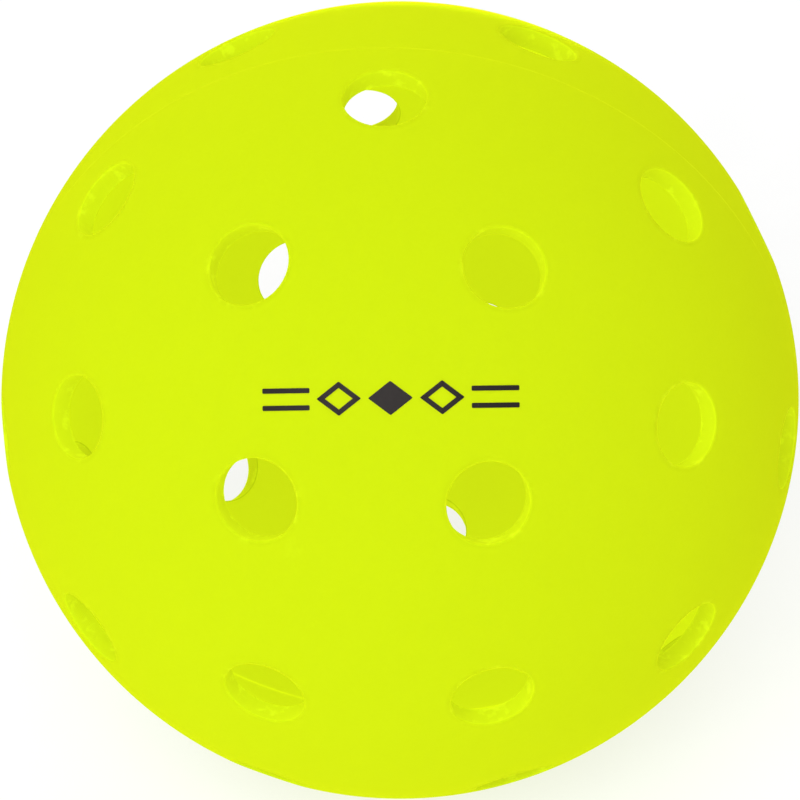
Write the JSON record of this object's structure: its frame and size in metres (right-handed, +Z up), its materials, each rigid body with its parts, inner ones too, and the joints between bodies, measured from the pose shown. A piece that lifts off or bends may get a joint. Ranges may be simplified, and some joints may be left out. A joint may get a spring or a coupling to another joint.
{
  "type": "pickleball ball",
  "caption": "Hollow outdoor pickleball of two welded half shells with staggered rings of round air holes and a plain printed mark.",
  "frame": {"origin": "centre of the ball", "axes": "-Y through the pole of the printed half, +Y through the pole of the other half, the weld in the XZ plane, +Z up"},
  "size_m": [0.074, 0.074, 0.074],
  "materials": {
    "shell_plastic": "satin moulded polyethylene, fluorescent yellow-green",
    "weld_plastic": "re-set polyethylene of the same colour",
    "ink": "thin pad-printed ink, near black"
  },
  "bodies": {
    "root": {"front_shell": "shell_plastic", "rear_shell": "shell_plastic", "weld_ring": "weld_plastic", "printed_mark": "ink"}
  },
  "joints": []
}
